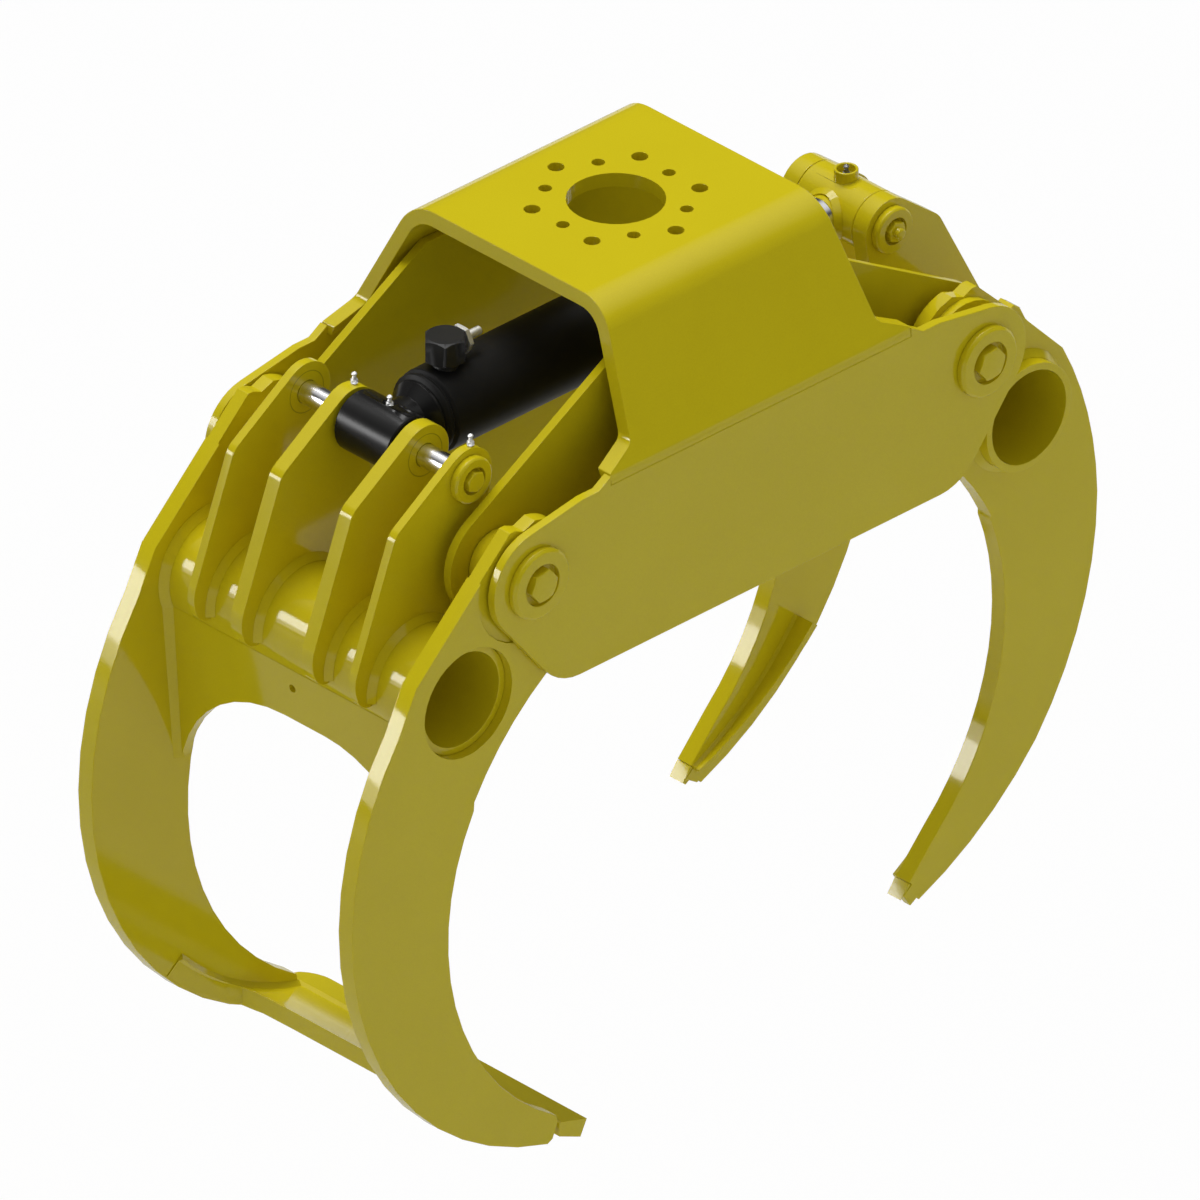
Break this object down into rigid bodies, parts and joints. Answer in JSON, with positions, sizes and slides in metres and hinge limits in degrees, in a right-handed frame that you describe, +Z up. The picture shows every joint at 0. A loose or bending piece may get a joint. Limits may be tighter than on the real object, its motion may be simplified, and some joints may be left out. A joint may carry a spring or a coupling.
{
  "type": "log grapple",
  "caption": "Hydraulic log grapple: bent top channel on box sides, a shovel-lipped arm facing an arm with pointed tines, both on torsion tubes, worked by a level cylinder.",
  "frame": {"origin": "centre of the top plate's upper face, where a rotator bolts on", "axes": "+Z up, +X across the opening towards the pointed arm, the near side of the frame at -Y"},
  "size_m": [1.0711, 0.446, 0.9119],
  "materials": {
    "yellow_paint": "satin yellow paint over plate with welded joints",
    "black_paint": "semi-gloss black paint",
    "chrome": "hard chrome, polished",
    "zinc_plate": "bright zinc plate"
  },
  "bodies": {
    "frame": {"top_channel": "yellow_paint", "outer_plate_near": "yellow_paint", "outer_plate_far": "yellow_paint", "inner_plate_near": "yellow_paint", "inner_plate_far": "yellow_paint", "box_web_near": "yellow_paint", "box_web_far": "yellow_paint", "pivot_pin_left_near": "chrome", "pivot_pin_left_far": "chrome", "pivot_pin_right_near": "chrome", "pivot_pin_right_far": "chrome", "pivot_cap_left_near": "yellow_paint", "pivot_cap_left_far": "yellow_paint", "pivot_cap_right_near": "yellow_paint", "pivot_cap_right_far": "yellow_paint", "pivot_bolt_left_near": "yellow_paint", "pivot_bolt_left_far": "yellow_paint", "pivot_bolt_right_near": "yellow_paint", "pivot_bolt_right_far": "yellow_paint"},
    "arm_left": {"ear_bush_left_near": "yellow_paint", "ear_bush_left_far": "yellow_paint", "tine_left_near": "yellow_paint", "tine_left_far": "yellow_paint", "lug_left_inner_near": "yellow_paint", "lug_left_inner_far": "yellow_paint", "lug_left_outer_near": "yellow_paint", "lug_left_outer_far": "yellow_paint", "nipple_lug_near": "zinc_plate", "nipple_lug_far": "zinc_plate", "torsion_tube_left": "yellow_paint", "web_left": "yellow_paint", "lip_plate": "yellow_paint", "upper_pin_left": "chrome", "upper_cap_left": "yellow_paint", "upper_bolt_left": "yellow_paint"},
    "arm_right": {"ear_bush_right_near": "yellow_paint", "ear_bush_right_far": "yellow_paint", "tine_right_near": "yellow_paint", "tine_right_far": "yellow_paint", "tip_near": "yellow_paint", "tip_far": "yellow_paint", "rib_near": "yellow_paint", "rib_far": "yellow_paint", "lug_right_near": "yellow_paint", "lug_right_far": "yellow_paint", "torsion_tube_right": "yellow_paint", "web_right": "yellow_paint", "upper_pin_right": "chrome", "upper_cap_right": "yellow_paint", "upper_bolt_right": "yellow_paint"},
    "barrel": {"cylinder_eye": "black_paint", "cylinder_barrel": "black_paint", "cylinder_gland": "black_paint", "port_block": "black_paint", "port_union": "zinc_plate", "nipple_eye": "zinc_plate"},
    "rod_end": {"rod": "chrome", "piston": "black_paint", "rod_eye": "yellow_paint", "nipple_rod_eye": "zinc_plate"}
  },
  "joints": [
    {"name": "left_arm_pivot", "type": "hinge", "parent": "frame", "child": "arm_left", "pos_m": [-0.312, 0, -0.227], "axis": [0, -1, 0], "range_deg": [-28, 20]},
    {"name": "right_arm_pivot", "type": "hinge", "parent": "frame", "child": "arm_right", "pos_m": [0.312, 0, -0.227], "axis": [0, 1, 0], "range_deg": [-28, 20]},
    {"name": "barrel_pivot", "type": "hinge", "parent": "arm_left", "child": "barrel", "pos_m": [-0.3218, 0, -0.14], "axis": [0, 1, 0], "range_deg": [-28, 20]},
    {"name": "rod_pivot", "type": "hinge", "parent": "arm_right", "child": "rod_end", "pos_m": [0.3218, 0, -0.14], "axis": [0, -1, 0], "range_deg": [-28, 20]}
  ],
  "couplings": [
    {"joint": "right_arm_pivot", "follows": "left_arm_pivot", "ratio": 1},
    {"joint": "barrel_pivot", "follows": "left_arm_pivot", "ratio": 1},
    {"joint": "rod_pivot", "follows": "left_arm_pivot", "ratio": 1}
  ]
}
